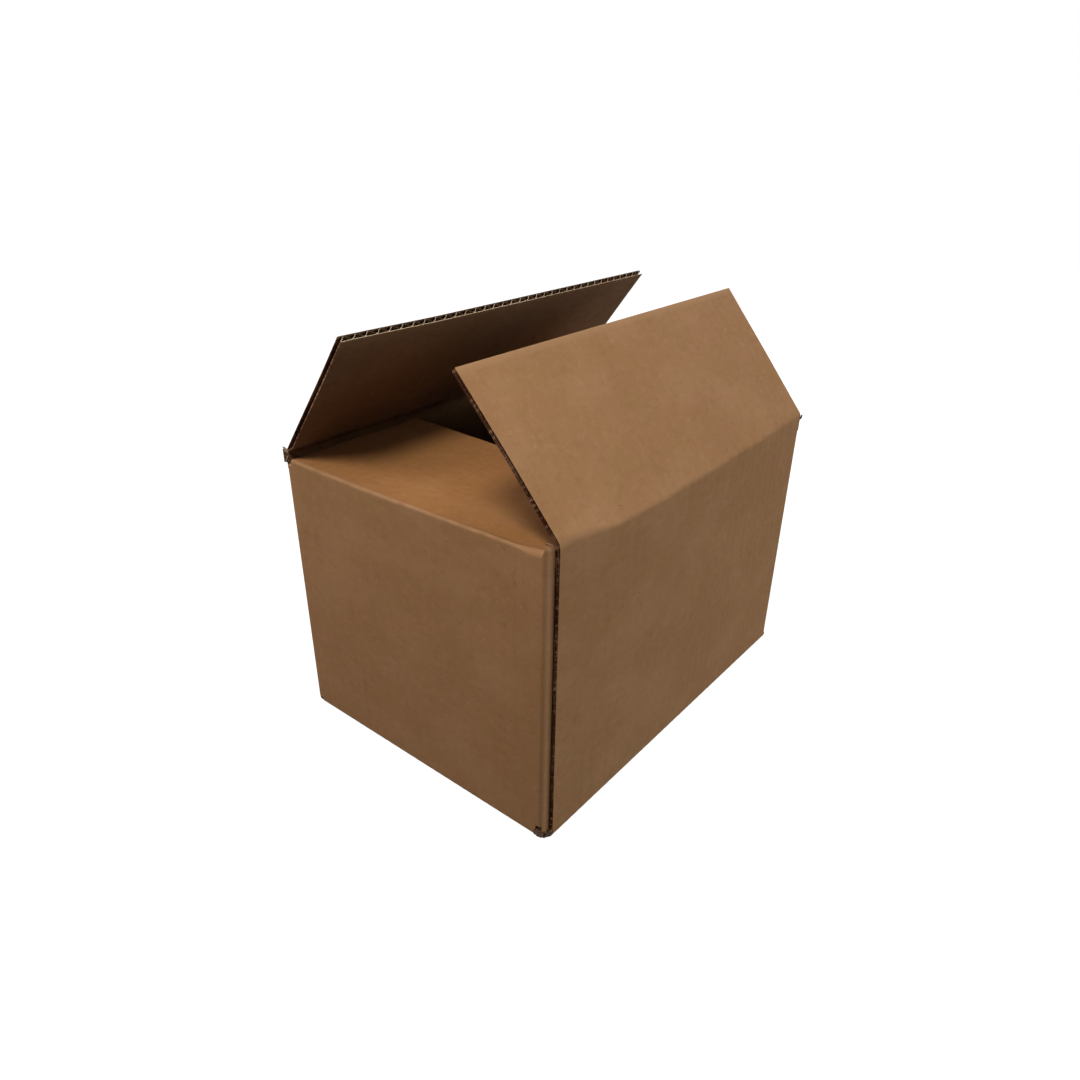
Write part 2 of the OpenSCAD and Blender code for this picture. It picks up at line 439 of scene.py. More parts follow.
def y_of(side, u):
    """The place y on the left or the right end of a distance u."""
    return left_start + PANEL_Y - u if side < 0 else u - right_start - PANEL_Y


# %% [markdown]
# ## Board
#
# A sheet of paper is two grids, its near and its far face, and narrow grids that close its cut
# edges. A board is three such sheets: two flat liners and the wavy medium between them. The
# liners sag a little between the lines where the medium holds them, which is the washboard look
# of real board. A cut across the flutes is clean and pale. A cut along a flute is ragged, because
# the knife crushes the medium there, and its paper is painted dark: painted shade of the open flutes.

# %% One sheet of paper
# The strip beside a side cut where the medium gets the dark torn paper: painted shade of the open flutes
DARK_EDGE = 2.5 * MM
ALL_RIMS = (True, True, True, True)


def add_sheet(
    piece, place, us, ss, near, far, finishes, wear=None, rims=ALL_RIMS, end_cut=CUT, side_cut=SHADED_SIDE_CUT
):
    """place(u, s, w) puts a point of the blank: u across the flutes, s along them, w deep.

    near and far give the depth of both faces. rims says which edges are closed: at the first
    and the last u, then at the first and the last s.
    """
    u, s = np.meshgrid(us, ss, indexing="ij")
    near_side = place(u, s, near(u, s))
    far_side = place(u, s, far(u, s))
    blank = np.stack([u, s], -1)
    worn_and_highlit = wear(u, s) if wear else np.zeros_like(u)
    dark = (rims[0] & (u < us[0] + DARK_EDGE)) | (rims[1] & (u > us[-1] - DARK_EDGE))
    dark = dark[:-1, :-1].ravel()
    faces = []
    for finish in finishes:
        finish = finish(u, s)[:-1, :-1].ravel() if callable(finish) else finish
        faces.append(np.where(dark & (np.asarray(finish) == SHADED_FLUTE), SHADED_TORN, finish))
    add_grid(piece, near_side, blank, faces[0], wear=worn_and_highlit)
    add_grid(piece, far_side, blank, faces[1], flip=True, wear=worn_and_highlit)
    cuts = (
        (np.s_[0, :], True, side_cut),
        (np.s_[-1, :], False, side_cut),
        (np.s_[:, 0], False, end_cut),
        (np.s_[:, -1], True, end_cut),
    )
    for drawn, (line, flip, finish) in zip(rims, cuts):
        if drawn:
            rim = np.stack([near_side[line], far_side[line]])
            across = np.stack([blank[line], blank[line] + 0.7 * LINER_T])
            cut = finish(u[line], s[line])[:-1] if callable(finish) else finish
            add_grid(piece, rim, across, cut, flip)


def depth(value):
    """The same depth at every point."""
    return lambda u, s: np.full_like(u, value)


# %% The three sheets of a board
# How far the liners sag between the flutes
WASH = 0.045 * MM


def columns(first, last, per_pitch=8):
    """Evenly spaced places from first to last, close enough to draw the wave of the medium."""
    return np.linspace(first, last, max(2, int(round((last - first) / PITCH * per_pitch)) + 1))


def wave(u):
    """Place of the medium, from -1 at the outer liner to 1 at the inner one."""
    return np.sin(2 * math.pi * u / PITCH)


def sag(u):
    """How deep the outer liner lies; beside the folds it is pressed flat."""
    calm = 1.0
    for fold in FOLDS:
        calm = calm * eased(np.abs(u - fold), 3 * MM, 12 * MM)
    return WASH * calm * (1 + wave(u)) / 2


def stroke_shade(u, s):
    """Seen end-on, the strokes of the wave that face the light get the pale cut paper, and the others the
    dark flute paper: painted shade.
    """
    return np.where(np.cos(2 * math.pi * u / PITCH) > -0.1, CUT, SHADED_FLUTE)


def add_board(
    piece, place, us, ss, thickness, wear=None, rims=ALL_RIMS, liner=OUTER, inner_wear=None, per_wave=8
):
    """Both liners and the medium of a part of the blank, thickness(u, s) thick."""

    def outer(u, s):
        return sag(u)

    def inner(u, s):
        return thickness(u, s) - 0.4 * (WASH - sag(u))

    def middle(u, s):
        board = thickness(u, s)
        return board / 2 + np.maximum(board / 2 - LINER_T - MEDIUM_T / 2, 0.02 * MM) * wave(u)

    def deeper(sheet, gap):
        return lambda u, s: sheet(u, s) + gap

    # The outer liner's cut ends get the shaded cut paper and the medium the dark flute paper, both painted
    # shade.
    add_sheet(piece, place, us, ss, outer, deeper(outer, LINER_T), (liner, SHADED_FLUTE), wear, rims, SHADED)
    add_sheet(piece, place, us, ss, deeper(inner, -LINER_T), inner, (SHADED_FLUTE, INNER), inner_wear, rims)
    add_sheet(
        piece,
        place,
        columns(us[0], us[-1], per_wave),
        ss,
        deeper(middle, -MEDIUM_T / 2),
        deeper(middle, MEDIUM_T / 2),
        (SHADED_FLUTE, SHADED_FLUTE),
        None,
        rims,
        stroke_shade,
        SHADED_DASHED,
    )


# %% [markdown]
# ## Walls
#
# The walls carry the whole look of the carton, so they aren't dead flat: the board bows by a
# fraction of a millimetre, and at each upright fold the score has pressed a shallow groove. Four
# flat panels could be joined at the corners, but the liner would break off at each of them. So
# the outer liner runs round as one sheet, as it does on the real blank, and only the inner
# faces, which hardly show, are four plain panels.

# %% Shape of a wall point
BOW = 0.6 * MM
GROOVE = 0.24 * MM
# The walls' own sheets run between these two heights
Z_LOW = 3.5 * MM
Z_JOIN = 170 * MM


def wall_bow(u, s):
    """How far a wall stands out; its corners, its top and its foot are held."""
    height = np.sin(math.pi * np.clip((s - Z_LOW) / (Z_JOIN - Z_LOW), 0, 1)) ** 2
    free = eased(u, 0, 25 * MM)
    for fold in FOLDS:
        free = free * eased(np.abs(u - fold), 0, 30 * MM)
    return BOW * height * free * (0.5 + 0.5 * ripple(u, s, 90 * MM, 11))


def wall_groove(u):
    """The groove that the score has pressed along each upright fold."""
    total = 0.0
    for fold in FOLDS:
        total = total + hump(u, fold, 1.3 * MM) + 0.35 * hump(u, fold, 4 * MM)
    return GROOVE * total


def wall_place(u, s, w):
    x, y, nx, ny = way(u)
    out = wall_bow(u, s) - wall_groove(u) - w
    return np.stack([x + nx * out, y + ny * out, s + 0 * x], -1)


def fold_wear_and_highlight(u, s):
    """The upright folds are rubbed a little pale, which also paints a highlight along them."""
    return 0.30 * sum(hump(u, fold + 1.2 * MM, 1.1 * MM) for fold in FOLDS)


# %% The outer liner round the four walls
walls = new_piece()
wall_columns = np.concatenate(
    [columns(0, tab_start + 5 * MM)]
    + [np.linspace(fold - 5 * MM, fold + 5 * MM, 33) for fold in FOLDS]
    + [[front_end, right_start, right_end, rear_start, rear_end, left_start, left_end, tab_start]]
)
wall_columns = np.unique(wall_columns.round(6))
wall_columns = wall_columns[(wall_columns >= 0) & (wall_columns <= tab_start + 5 * MM)]
wall_rows = np.linspace(Z_LOW, Z_JOIN, 27)
FOOT_TEAR = 5.0 * MM


def torn_foot(u, s):
    """The liner is torn off a little higher at the foot of the glued corner."""
    start = eased(u, left_end - 2.5 * MM, left_end - 2.0 * MM)
    end = eased(u, left_end + 1.9 * MM, left_end + 2.5 * MM)
    torn = FOOT_TEAR * (start - end)
    return s + torn * (1 - (s - Z_LOW) / (Z_JOIN - Z_LOW))


add_sheet(
    walls,
    lambda u, s, w: wall_place(u, torn_foot(u, s), w),
    wall_columns,
    wall_rows,
    lambda u, s: sag(u),
    lambda u, s: sag(u) + LINER_T,
    (OUTER, SHADED_FLUTE),
    fold_wear_and_highlight,
    (True, True, True, False),
)

# %% [markdown]
# The glue tab is cut back on a slant at both ends, so that it slips in easily. It lies behind
# the front wall and shows only from inside, so one sheet of board without open flutes is enough.


# %% The glue tab
TAB_SLANT = math.tan(math.radians(12))
TAB_LOW, TAB_HIGH = 9 * MM, 171 * MM
TAB_INSIDE = 3.6 * MM


def tab_place(u, s, w):
    """s runs from 0 to 1 between the slanted ends of the tab."""
    drop = TAB_SLANT * (u - tab_start)
    low, high = TAB_LOW + drop, TAB_HIGH - drop
    x, y, nx, ny = way(u)
    return np.stack([x - nx * w, y - ny * w, low + (high - low) * s], -1)


add_sheet(
    walls,
    tab_place,
    columns(tab_start, tab_end),
    np.linspace(0, 1, 12),
    depth(0.5 * MM),
    depth(TAB_INSIDE),
    (SHADED_FLUTE, INNER),
)


# %% The inner faces of the four walls
def inner_wall(corner_a, corner_b, first):
    """A flat inner face from one corner to the next, seen from inside the carton."""
    (ax, ay), (bx, by) = corner_a, corner_b
    length = math.hypot(bx - ax, by - ay)
    u, s = np.meshgrid(columns(0, length, 4), np.linspace(Z_LOW, Z_JOIN, 20), indexing="ij")
    nx, ny = -(by - ay) / length, (bx - ax) / length
    dip = 0.05 * MM * wave(first + u)
    x = ax + (bx - ax) * u / length + nx * dip
    y = ay + (by - ay) * u / length + ny * dip
    add_grid(walls, np.stack([x, y, s], -1), np.stack([first + u, s], -1), INNER, flip=True)


# How far behind the raw edge the front wall's inner panel starts
INNER_START = 9 * MM
inner_x, inner_y = HALF_L - BOARD_T, HALF_W - BOARD_T
inner_corners = (
    (CUT_X + INNER_START, -inner_y),
    (inner_x, -inner_y),
    (inner_x, inner_y),
    (-inner_x, inner_y),
    (-inner_x, TAB_Y + TAB_INSIDE),
)
for i, first in enumerate((INNER_START, right_start, rear_start, left_start)):
    inner_wall(inner_corners[i], inner_corners[i + 1], first)

# %% [markdown]
# ## The raw edge at the glued corner
#
# The blank ends at the near corner in a straight cut along a flute. The joint has been pressed,
# so the board is thin there, and the cut shows the liners, the torn medium and a dark gap in
# front of the rounded end wall behind it. A straight edge with dark paint would look cut with a
# laser, so the medium is a sheet of its own here, and its end and its depth wander.

# %% The raw edge of the front wall
# The thickness at the cut, and how far from it the board has its full thickness
EDGE_T = 2.1 * MM
EDGE_RUN = 11 * MM
# The medium there: its place in the depth of the board, as a share, and half its thickness
TORN_PLACE = 0.62
HALF_TORN = 0.24 * MM


def raw_thickness(u, s):
    """The board grows from its pressed edge to its full thickness."""
    return EDGE_T + (BOARD_T - EDGE_T) * eased(u, 0, EDGE_RUN) + 0.15 * MM * ripple(s, 0 * s, 9 * MM, 3)


def torn_middle(u, s):
    """Depth of the torn medium: it wanders most at the cut."""
    wander = 0.20 * MM * ripple(s, 0 * s, 3.5 * MM, 5) + 0.12 * MM * ripple(s, 0 * s, 1.3 * MM, 6)
    return raw_thickness(u, s) * TORN_PLACE + wander * (1 - eased(u, 0, 6 * MM))


def raw_ends(u, s):
    """How far the crushed medium comes short of the cut."""
    return 0.5 * MM + 0.4 * MM * ripple(s, 0 * s, 2.2 * MM, 8)


def torn_place(u, s, w):
    return wall_place(u + raw_ends(u, s) * (1 - eased(u, 0, 4 * MM)), s, w)


edge_columns = np.linspace(0, 12 * MM, 17)
edge_rows = np.linspace(Z_LOW, Z_JOIN, 190)
EDGE_RIMS = (True, False, True, False)
add_sheet(
    walls,
    wall_place,
    edge_columns,
    edge_rows,
    lambda u, s: raw_thickness(u, s) - LINER_T,
    raw_thickness,
    (SHADED_FLUTE, INNER),
    None,
    EDGE_RIMS,
)
# The torn medium and its cut side get the dark flute and dashed papers: painted shade, with pale bits of
# fibre.
add_sheet(
    walls,
    torn_place,
    edge_columns,
    edge_rows,
    lambda u, s: torn_middle(u, s) - HALF_TORN,
    lambda u, s: torn_middle(u, s) + HALF_TORN,
    (SHADED_FLUTE, SHADED_FLUTE),
    None,
    EDGE_RIMS,
    side_cut=SHADED_DASHED,
)

# %% [markdown]
# ## Long top flaps
#
# Each long flap is a full board with real flutes, because its cut edges show them end-on. At
# rest the creases aren't straight: at the glued corner the board still stands up past the
# score before it leans, in the middle the bend sits a little lower. A flat slab turned about
# the hinge line would miss all this, so the section is worked out anew at each place along the
# crease: a soft curve for the bend, and from there a straight run to the free edge.

# %% Where the bend sits along each crease
# Places along the carton, and how far above the hinge line the bend sits there, in millimetres
CREASE_LIFT = {
    "front_flap": (
        (-130, 5.2), (-117, 4.9), (-104, 2.4), (-92, -0.6), (-78, -2.4),
        (-40, -3.0), (30, -2.6), (80, -1.3), (135, 0.8),
    ),
    "rear_flap": ((-135, -0.6), (-60, -0.5), (40, -1.6), (135, -5.5)),
}


def crease_lift(flap, x):
    waves = 0.22 * MM * ripple(x, 0 * x, 9 * MM, 21) + 0.25 * MM * ripple(x, 0 * x, 26 * MM, 22)
    return soft_curve(CREASE_LIFT[flap], x, 7) + waves


# %% The section of a long side: wall, bend and flap
def softness(flap, x):
    """Half the length of the bend: the raised crease near the glued corner is a loose one."""
    return 1.6 * MM + (1.6 * MM * eased(-x, 85 * MM, 112 * MM) if flap == "front_flap" else 0)


def long_section(flap, x, s):
    """Inward offset, height and inward normal of the outer face; both heights from the hinge."""
    soft = softness(flap, x)
    lift = crease_lift(flap, x)
    tip_y = FLAP_D * math.sin(LEAN[flap])
    tip_z = FLAP_D * math.cos(LEAN[flap])
    run = np.hypot(tip_y, tip_z - lift)
    dy, dz = tip_y / run, (tip_z - lift) / run
    stretch = run / (FLAP_D - lift)
    t = np.clip((s - lift + soft) / (2 * soft), 0, 1)
    beyond = np.maximum(s - lift - soft, 0) * stretch
    below = np.minimum(s - lift + soft, 0)
    arm = soft * stretch
    y = t * t * arm * dy + beyond * dy
    z = lift - soft + 2 * t * (1 - t) * soft + t * t * (soft + arm * dz) + beyond * dz + below
    slope_y = np.where(t < 1, 2 * t * arm * dy, dy)
    slope_z = np.where(t < 1, 2 * (1 - 2 * t) * soft + 2 * t * (soft + arm * dz), dz)
    size = np.hypot(slope_y, slope_z)
    return y, z, slope_z / size, -slope_y / size


# %% Thickness of a long side
# Shares of the board's full thickness: the flap, its raw side edge, the crease, and the crease
# where it stands up at the glued corner
FLAP_T = 0.92
SIDE_EDGE_T = 0.74
CREASE_T = 0.36
RAISED_T = 0.58


def long_thickness(flap):
    def thickness(u, s):
        """The board is pressed flat along the crease, and thin at the raw edge below it."""
        x = way(u)[0]
        from_bend = s - HINGE_Z - crease_lift(flap, x)
        plain = np.where(from_bend > 0, FLAP_T, 1.0)
        pressed = CREASE_T + (1 - CREASE_T) * eased(np.abs(from_bend), 1.0 * MM, 8.5 * MM)
        if flap == "rear_flap":
            return BOARD_T * plain * pressed
        pressed = np.maximum(pressed, RAISED_T * (1 - eased(u, 2 * MM, 9 * MM)))
        edge = raw_thickness(u, s)
        edge = edge + (BOARD_T * SIDE_EDGE_T - edge) * eased(from_bend, 2 * MM, 9 * MM)
        return np.minimum(BOARD_T * plain * pressed, edge + (BOARD_T - edge) * eased(u, 0, EDGE_RUN))

    return thickness


# %% Small bends of a long flap
def flap_bow(flap, x, v):
    """The flap's middle stands out or in by a fraction of a millimetre."""
    along = np.clip(v / FLAP_D, 0, 1)
    return 0.35 * MM * np.sin(math.pi * along) * ripple(x, v, 70 * MM, 31 + SIDE[flap])


def skew(flap, x, v):
    """Sideways shift of the corners: the front flap's left one to the right, both rear ones left."""
    along = np.clip(v / FLAP_D, 0, 1)
    if flap == "front_flap":
        return 0.8 * MM * along * (x < 0) * (-x / HALF_L)
    return -2.6 * MM * along * eased(-x, 0, HALF_L) - 2.4 * MM * along * eased(x, 40 * MM, HALF_L)


def corner_rise(flap, x, v):
    """The left free corner of the rear flap stands up a little."""
    along = np.clip(v / FLAP_D, 0, 1)
    return 1.0 * MM * along * eased(-x, 60 * MM, 135 * MM) if flap == "rear_flap" else 0.0


def long_place(flap):
    side = SIDE[flap]

    def place(u, s, w):
        x = x_of(side, u)
        v = s - HINGE_Z
        y, z, ny, nz = long_section(flap, x, v)
        inward = w - flap_bow(flap, x, v) * eased(v, 0, 20 * MM) - corner_rise(flap, x, v)
        across = side * (HALF_W - y - ny * inward)
        return np.stack([x + skew(flap, x, v), across, HINGE_Z + z + nz * inward], -1)

    return place


# %% Make the two flaps beyond their crease strips
# How far beyond the hinge line the crease strip ends and the rest of the flap starts
STRIP_END = {"front_flap": 20 * MM, "rear_flap": 12 * MM}
FLAP_TOP = HINGE_Z + FLAP_D
FLAP_SPAN = {
    "front_flap": (0.0, way_of_x(-1, FLAP_X)),
    "rear_flap": (way_of_x(1, FLAP_X), way_of_x(1, -FLAP_X)),
}
# Where the rear flap is scuffed: along the carton, and beyond the hinge line
SCUFF = (93 * MM, 80 * MM)
SCUFF_ROWS = HINGE_Z + SCUFF[1] + np.linspace(-6, 6, 13) * MM


def rim_wear(u, s):
    """The last millimetre before the free edge is rubbed pale."""
    return 0.75 * eased(s, FLAP_TOP - 1.4 * MM, FLAP_TOP - 0.2 * MM)


def scuff(u, s):
    """A short rub mark on the inner face of the rear flap, near its right end."""
    x, v = x_of(1, u), s - HINGE_Z
    along = (x - SCUFF[0]) / (5 * MM)
    across = (v - SCUFF[1] - 1.2 * MM * np.sin(2.2 * along) - 1.5 * MM * along) / (1.1 * MM)
    return 0.9 * np.exp(-(across**2) - along**4)


for flap, (first, last) in FLAP_SPAN.items():
    piece = new_piece()
    start = HINGE_Z + STRIP_END[flap]
    near_rows = np.linspace(start, start + 8 * MM, 5)
    flap_rows = np.concatenate([near_rows, np.linspace(start + 12 * MM, FLAP_TOP, 15)])
    if flap == "rear_flap":
        flap_rows = np.unique(np.concatenate([flap_rows, SCUFF_ROWS]).round(6))
    add_board(
        piece,
        long_place(flap),
        columns(first, last),
        flap_rows,
        long_thickness(flap),
        rim_wear,
        (True, True, False, True),
        inner_wear=scuff if flap == "rear_flap" else None,
        per_wave=12,
    )
    made = finish_piece(piece, flap + "_board", PAPERS)
    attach(made, flap)
    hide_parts(flap)

# %% [markdown]
# ## Crease strips
#
# Between the wall and a flap the board is a living hinge. Two stiff sheets that meet at the hinge
# line would gape or cross as the flap swings. This strip is its own piece, shaped for the flap at
# rest, and it runs from the carton to the flap: it starts flush with the wall 11 mm under the hinge and
# ends flush with the flap 12 or 20 mm beyond it. The front one is longer, because its crease is raised and
# loose near the glued corner.

# %% Make the crease strips
for flap, (first, last) in FLAP_SPAN.items():
    piece = new_piece()
    reach = STRIP_END[flap]
    strip_rows = np.linspace(Z_JOIN, HINGE_Z + reach, int(reach / MM) + 16)
    add_board(
        piece,
        long_place(flap),
        columns(first, last),
        strip_rows,
        long_thickness(flap),
        None,
        (True, True, False, False),
    )
    made = finish_piece(piece, flap + "_crease", PAPERS)
    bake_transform(made)

# %% [markdown]
# ## Folded-in short top flaps
#
# Each end wall turns over at its top into a short flap that lies almost level over the box. The
# fold is tight, and its outer liner is stretched and rubbed pale, with a painted highlight along it. On
# the left it climbs towards the glued corner, where the fold is looser. A level slab would hit the shut
# long flaps there, so away from the fold the sheet is eased down until the long flaps can shut over it.
# Past the fold the liner is painted a warmer, darker brown: painted warm shade.


# %% Room that the shut long flaps leave over the short ones
def shut_room(x, y):
    """Height of a shut long flap's inner face over the point x, y."""
    from_hinge = HALF_W - np.abs(y)
    room = np.zeros_like(x + y)
    for flap, side in SIDE.items():
        proud = crease_lift(flap, x) * math.sin(LEAN[flap]) * (1 - from_hinge / FLAP_D)
        room = np.where(np.sign(y) == side, HINGE_Z + proud - FLAP_T * BOARD_T, room)
    return np.where(room == 0, HINGE_Z - BOARD_T, room)


# %% The fold at the top of an end wall
# Places across the left end (-1) and the right end (1), and the fold's height there, in millimetres
FOLD_HEIGHTS = {
    -1: (
        (-95, 182.6), (-89, 181.8), (-84, 181.1), (-62, 180.7), (-45, 179.8),
        (-20, 179.2), (0, 178.2), (22, 177.4), (45, 177.0), (95, 176.8),
    ),
    1: ((-95, 175.6), (0, 175.0), (60, 174.2), (95, 173.3)),
}


def fold_height(side, y):
    return soft_curve(FOLD_HEIGHTS[side], y, 6) + 0.15 * MM * ripple(y, 0 * y, 11 * MM, 44 + side)


def fold_radius(side, y):
    return 1.3 * MM + (2.2 * MM * eased(-y, 76 * MM, 91 * MM) if side < 0 else 0)


def short_parts(side, y, s):
    """Distances along wall, bend and flap of a point s on the blank."""
    top, radius = fold_height(side, y), fold_radius(side, y)
    rise = top - radius
    flat = np.maximum(s - rise - radius * QUARTER, 0)
    return top, radius, np.minimum(s, rise), np.clip((s - rise) / radius, 0, QUARTER), flat


# %% Place and thickness of a short flap
def short_place(side):
    def place(u, s, w):
        y = y_of(side, u)
        top, radius, wall, angle, flat = short_parts(side, y, s)
        x = radius * (1 - np.cos(angle)) + flat
        z = wall + radius * np.sin(angle)
        room = shut_room(side * (HALF_L - x), y) - 0.35 * MM
        level = np.minimum(room, FOLD_Z + 0.25 * MM * ripple(u, flat, 45 * MM, 41 + side))
        z = z + (level - top) * eased(flat, 0, 38 * MM)
        cover = eased(flat, -0.5 * MM, 4 * MM)
        z = np.where(flat > 0, z + (np.minimum(z, room) - z) * cover, z)
        out = wall_bow(u, s) - wall_groove(u) * (1 - eased(flat, 0, 6 * MM)) - w
        return np.stack([side * (HALF_L - x + out * np.cos(angle)), y, z + out * np.sin(angle)], -1)

    return place


def short_thickness(side):
    def thickness(u, s):
        y = y_of(side, u)
        top, radius = fold_height(side, y), fold_radius(side, y)
        return BOARD_T * (0.93 - 0.5 * hump(s, top - 0.3 * radius, 4 * MM))

    return thickness


# %% Rubbed fold with a painted highlight, and the painted warm shade of a short flap
def short_fold_highlight_and_wear(side):
    def worn_and_highlit(u, s):
        y = y_of(side, u)
        top, radius = fold_height(side, y), fold_radius(side, y)
        # The fold's pale line is partly rubbed liner and partly a painted highlight.
        rubbed_and_highlit = 0.40 + 0.3 * ripple(u, s, 4 * MM, 47)
        return rubbed_and_highlit * hump(s, top - 0.25 * radius, 0.9 * MM + 0.35 * radius) + fold_wear_and_highlight(u, s)

    return worn_and_highlit


# Past the fold the short flap gets the warm shaded liner: painted warm shade.
def short_liner(side):
    def liner(u, s):
        y = y_of(side, u)
        return np.where(s > fold_height(side, y) + 1.5 * MM, WARM_SHADED_LINER, OUTER)

    return liner


# %% Make the short flaps
short_rows = np.concatenate([np.linspace(Z_JOIN, 174 * MM, 4), np.linspace(174 * MM, 186 * MM, 21)[1:]])
short_rows = np.concatenate([short_rows, np.linspace(186 * MM, FOLD_Z + FLAP_D, 17)[1:]])
short_flaps = new_piece()
SHORT_SPAN = {
    -1: (way_of_y(-1, SHORT_Y), way_of_y(-1, -94.6 * MM)),
    1: (way_of_y(1, -SHORT_Y), way_of_y(1, SHORT_Y)),
}
for side, (first, last) in SHORT_SPAN.items():
    add_board(
        short_flaps,
        short_place(side),
        columns(first, last, 6),
        short_rows,
        short_thickness(side),
        short_fold_highlight_and_wear(side),
        (True, True, False, True),
        short_liner(side),
    )

# %% [markdown]
# ## Corners above the walls
#
# Where the slots between the flaps end, a short post of board is left at each upright fold,
# with its crushed flutes open at the top. At the glued corner the post stands higher, because
# the whole joint has been pushed up there, and its top is torn. At the left rear corner a chip
# of torn liner sticks up beside the flap, and at the right front corner a crushed tip points
# outward. Cut from the wall sheet, the posts would be too even, so they are three small sheets
# each, and the chips are scraps that stand on them.

# %% Corner posts
posts = new_piece()
# Where each post starts and ends round the walls, and the height of its top in millimetres
POSTS = (
    (front_end - 1.0 * MM, SHORT_SPAN[1][0] + 0.2 * MM, 178),
    (SHORT_SPAN[1][1] - 0.2 * MM, rear_start + 1.0 * MM, 175.5),
    (rear_end - 1.0 * MM, SHORT_SPAN[-1][0] + 0.2 * MM, 173.5),
    (SHORT_SPAN[-1][1] - 0.8 * MM, tab_start + 3.6 * MM, 186.4),
)
GLUED_POST = 3
POST_RIMS = (False, False, False, True)


def post_top(number, u):
    """The post at the glued corner climbs from the fold beside it and falls a little at its end."""
    top = POSTS[number][2] * MM
    if number == GLUED_POST:
        beside = fold_height(-1, -SHORT_Y)
        climb = eased(u, SHORT_SPAN[-1][1] - 1.2 * MM, left_end + 1.6 * MM)
        top = beside + (top - beside) * climb
        top = top - 1.2 * MM * eased(u, tab_start + 0.5 * MM, tab_start + 3.5 * MM)
    return top


def post_lean(number, s):
    """How far the top leans inward; at the glued corner it is a round shoulder."""
    if number == GLUED_POST:
        return 2.7 * MM * (1 - np.sqrt(1 - np.clip((s - 0.80) / 0.201, 0, 1) ** 2))
    return 0.9 * MM * eased(s, 0.72, 1.0)


# %% Place of a post's sheets
def post_place(number):
    def place(u, s, w):
        """s runs from 0 at the join to 1 at the ragged top."""
        ragged = 0.45 * MM * ripple(u, 0 * u, 2.2 * MM, 60 + number) * eased(s, 0.5, 1)
        z = Z_JOIN + (post_top(number, u) - Z_JOIN) * s + ragged
        x, y, nx, ny = way(u)
        out = -wall_groove(u) - w - post_lean(number, s)
        return np.stack([x + nx * out, y + ny * out, z], -1)

    return place


def buckled(first, middle):
    """A crushed medium: waves that start at the distance first, about a depth in millimetres."""

    def crushed(u, s):
        turn = 2 * math.pi * (u - first) / (3.1 * MM)
        return middle * MM + 0.45 * MM * np.sin(turn) * eased(s, 0.2, 0.9)

    return crushed


# %% Make the corner posts
for number, (first, last, _) in enumerate(POSTS):
    place = post_place(number)
    run = np.linspace(first, last, 29)
    steps = np.linspace(0, 1, 12)
    lower = steps
    if number == GLUED_POST:
        steps = np.concatenate([np.linspace(0, 0.8, 5), np.linspace(0.82, 1, 12)])
        lower = 0.86 * steps
    # The posts' torn paper is painted shade of their crushed, open flutes.
    medium = (buckled(first, 1.25), buckled(first, 1.55))
    add_sheet(posts, place, run, steps, depth(0.0), depth(LINER_T), (OUTER, SHADED_TORN), fold_wear_and_highlight, POST_RIMS)
    add_sheet(posts, place, run, lower, *medium, (SHADED_TORN, SHADED_TORN), None, POST_RIMS)
    add_sheet(posts, place, run, lower, depth(2.4 * MM), depth(2.8 * MM), (SHADED_TORN, INNER), None, POST_RIMS)


# %% A torn chip and a crushed tip
def add_scrap(origin, along, up, bend, length, height, seed, finishes):
    """A small curled scrap of liner that stands on a torn edge."""
    origin, along, up, bend = (np.array(v, float) for v in (origin, along, up, bend))

    def place(u, s, w):
        torn = s * (1 + 0.16 * ripple(u, 0 * u, 1.6 * MM, seed))
        ragged = torn * (1 - 0.35 * eased(u, 0.6 * length, length))
        curled = 0.8 * MM * (s / height) ** 2 + w
        return origin + along * u[..., None] + up * ragged[..., None] + bend * curled[..., None]

    us, ss = np.linspace(0, length, 12), np.linspace(0, height, 9)
    add_sheet(posts, place, us, ss, depth(0.0), depth(0.3 * MM), finishes)


# Origin in millimetres, directions along, up and of the curl, length and height in millimetres,
# seed of the ragged edge, and paper
SCRAPS = (
    ((-135.9, 100.0, 180.0), (0.35, -0.93, 0.10), (-0.15, 0.15, 1), (0.2, 0.3, 0), 2.6, 4.4, 71, CUT),
    ((-136.6, 100.5, 174.4), (0.40, -0.92, -0.05), (0.0, 0.0, 1), (0.1, 0.2, 0), 4.8, 6.6, 72, SHADED_TORN),
    ((-136.9, 99.2, 174.6), (0.60, -0.80, 0.10), (0.20, -0.40, 1), (0.3, 0.2, 0), 0.7, 5.4, 75, CUT),
    ((-134.8, -95.4, 186.9), (0.64, -0.60, -0.40), (-0.4, -0.4, 0.8), (0.3, 0.3, 0), 6.6, 1.0, 77, WARM_SHADED_LINER),
    ((134.2, -100.1, 177.6), (0.95, -0.05, 0.20), (0.1, -0.05, 0.95), (0.1, -0.2, 0), 3.0, 3.4, 73, SHADED_TORN),
    ((134.6, -99.5, 177.2), (0.95, 0.20, 0.05), (0.2, -0.1, 0.9), (0.2, -0.2, 0), 2.6, 3.2, 74, SHADED_TORN),
    ((135.2, -99.7, 178.4), (0.90, -0.20, -0.2), (0.2, -0.1, 0.9), (0.2, -0.2, 0), 1.8, 2.0, 76, SHADED_FLUTE),
)
# The scraps' dark torn and flute papers are painted shade, and the warm liner of the one at the glued
# corner is painted warm shade.
for origin, along, up, bend, length, height, seed, finish in SCRAPS:
    add_scrap(np.array(origin) * MM, along, up, bend, length * MM, height * MM, seed, (finish, SHADED_TORN))
print(len(POSTS), "posts and", len(SCRAPS), "scraps")

